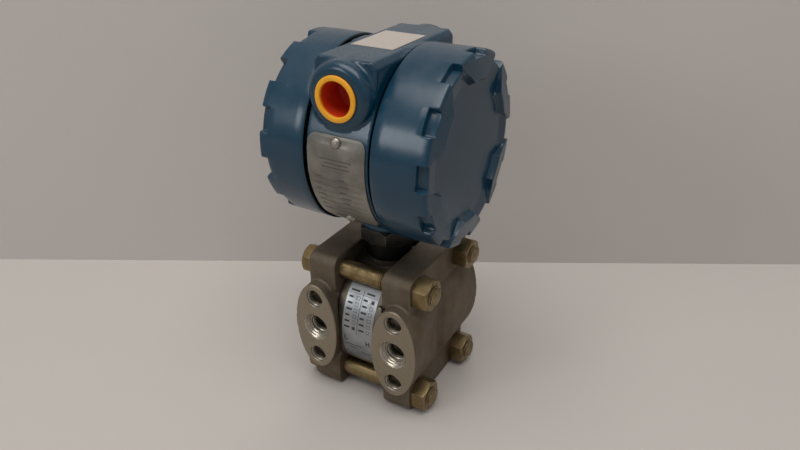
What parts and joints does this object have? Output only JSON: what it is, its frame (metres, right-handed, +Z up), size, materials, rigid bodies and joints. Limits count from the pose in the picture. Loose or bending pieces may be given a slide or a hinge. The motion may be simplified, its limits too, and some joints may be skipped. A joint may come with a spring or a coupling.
{
  "type": "differential pressure transmitter",
  "caption": "Differential pressure transmitter: round electronics housing with screw covers on a sensor cell clamped between bolted process flanges.",
  "frame": {"origin": "midway between the two process ports, on the plane of their machined faces", "axes": "+X along the flange bolts towards the high pressure side, +Y back into the object away from the port faces, +Z up; the object stands on the lower edges of its flanges at z = -0.047 m"},
  "size_m": [0.1034, 0.1109, 0.2157],
  "materials": {
    "housing_paint": "satin",
    "flange_casting": "rough cast",
    "yellow_zinc": "satin",
    "stainless": "satin",
    "nut_steel": "dull",
    "plate_metal": "satin",
    "label_silver": "satin",
    "label_cream": "matte",
    "rubber_black": "matte",
    "cap_plastic": "satin",
    "block_black": "matte",
    "board_green": "satin",
    "component_grey": "matte",
    "pot_blue": "gloss",
    "terminal_brass": "satin"
  },
  "bodies": {
    "sensor_module": {"process_flange_high": "flange_casting", "process_flange_low": "flange_casting", "flange_bolts": "yellow_zinc", "flange_nuts": "yellow_zinc", "vent_seat_low": "stainless", "vent_seat_high": "stainless", "sensor_cell": "stainless", "cell_label": "label_silver", "cell_fill_plug": "stainless", "cell_header": "stainless", "neck_lock_nut": "nut_steel", "isolating_diaphragm_low": "stainless", "isolating_diaphragm_high": "stainless", "process_seal_low": "rubber_black", "process_seal_high": "rubber_black"},
    "housing": {"electronics_housing": "housing_paint", "cover_ring_low": "rubber_black", "cover_ring_high": "rubber_black", "conduit_plug": "stainless", "nameplate": "plate_metal", "nameplate_screws": "stainless", "top_label": "label_cream", "terminal_block": "block_black", "terminal_screws": "terminal_brass", "terminal_block_screws": "stainless", "amplifier_board": "board_green", "calibration_board": "board_green", "board_standoffs": "terminal_brass", "board_screws": "stainless", "trim_pots": "pot_blue", "board_components": "component_grey"},
    "low_cover": {"cover_low_side": "housing_paint"},
    "high_cover": {"cover_high_side": "housing_paint"},
    "conduit_cap": {"conduit_protector": "cap_plastic"},
    "zero_adjuster": {"zero_screw": "terminal_brass"},
    "span_adjuster": {"span_screw": "terminal_brass"},
    "low_vent": {"vent_stem_low": "stainless"},
    "high_vent": {"vent_stem_high": "stainless"}
  },
  "joints": [
    {"name": "housing_swivel", "type": "hinge", "parent": "sensor_module", "child": "housing", "pos_m": [0, 0.04335, 0.0716], "axis": [0, 0, 1], "range_deg": [-90, 90]},
    {"name": "low_cover_travel", "type": "slide", "parent": "housing", "child": "low_cover", "axis": [-1, 0, 0], "range_m": [0, 0.03]},
    {"name": "high_cover_travel", "type": "slide", "parent": "housing", "child": "high_cover", "axis": [1, 0, 0], "range_m": [0, 0.03]},
    {"name": "conduit_cap_travel", "type": "slide", "parent": "housing", "child": "conduit_cap", "axis": [0, -1, 0], "range_m": [0, 0.025]},
    {"name": "zero_turn", "type": "hinge", "parent": "housing", "child": "zero_adjuster", "pos_m": [-0.0095, -0.00776, 0.12475], "axis": [0, 1, 0], "continuous": true},
    {"name": "span_turn", "type": "hinge", "parent": "housing", "child": "span_adjuster", "pos_m": [-0.0095, -0.00776, 0.10675], "axis": [0, 1, 0], "continuous": true},
    {"name": "low_vent_turn", "type": "hinge", "parent": "sensor_module", "child": "low_vent", "pos_m": [-0.027, 0.09, 0], "axis": [0, 1, 0], "continuous": true},
    {"name": "high_vent_turn", "type": "hinge", "parent": "sensor_module", "child": "high_vent", "pos_m": [0.027, 0.09, 0], "axis": [0, 1, 0], "continuous": true}
  ]
}
